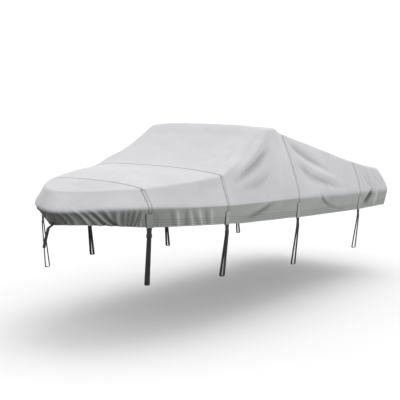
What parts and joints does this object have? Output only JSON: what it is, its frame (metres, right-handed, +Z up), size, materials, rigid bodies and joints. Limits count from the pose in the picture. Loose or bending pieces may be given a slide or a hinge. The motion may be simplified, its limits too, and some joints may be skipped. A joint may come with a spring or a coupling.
{
  "type": "boat cover",
  "caption": "Fitted cloth cover for a trailered V-hull boat with a windscreen, with seam strips, tabs, buckles, webbing loops and a bow strap.",
  "frame": {"origin": "underside of the cloth at the highest point of the windscreen crest, on the centre line", "axes": "+X to port, +Y aft towards the transom, +Z up"},
  "size_m": [2.5057, 7.1691, 2.0665],
  "materials": {
    "cover_cloth": "coated woven polyester, light grey",
    "seam_tape": "woven tape, grey",
    "tab_cloth": "doubled cloth, greenish grey",
    "buckle_plastic": "moulded, black",
    "webbing": "woven webbing, black"
  },
  "bodies": {
    "root": {"panel_bow": "cover_cloth", "panel_foredeck": "cover_cloth", "panel_windscreen": "cover_cloth", "panel_cockpit": "cover_cloth", "panel_stern": "cover_cloth", "seam_strip_port_1": "seam_tape", "seam_strip_port_2": "seam_tape", "seam_strip_port_3": "seam_tape", "seam_strip_port_4": "seam_tape", "seam_strip_stbd_1": "seam_tape", "seam_strip_stbd_2": "seam_tape", "seam_strip_stbd_3": "seam_tape", "seam_strip_stbd_4": "seam_tape", "tab_port_1": "tab_cloth", "tab_port_2": "tab_cloth", "tab_port_3": "tab_cloth", "tab_port_4": "tab_cloth", "tab_stbd_1": "tab_cloth", "tab_stbd_2": "tab_cloth", "tab_stbd_3": "tab_cloth", "tab_stbd_4": "tab_cloth", "buckle_port_1": "buckle_plastic", "buckle_port_2": "buckle_plastic", "buckle_port_3": "buckle_plastic", "buckle_port_4": "buckle_plastic", "buckle_stbd_1": "buckle_plastic", "buckle_stbd_2": "buckle_plastic", "buckle_stbd_3": "buckle_plastic", "buckle_stbd_4": "buckle_plastic", "strap_port_1": "webbing", "strap_port_2": "webbing", "strap_port_3": "webbing", "strap_port_4": "webbing", "strap_stbd_1": "webbing", "strap_stbd_2": "webbing", "strap_stbd_3": "webbing", "strap_stbd_4": "webbing", "bow_strap": "webbing"}
  },
  "joints": []
}
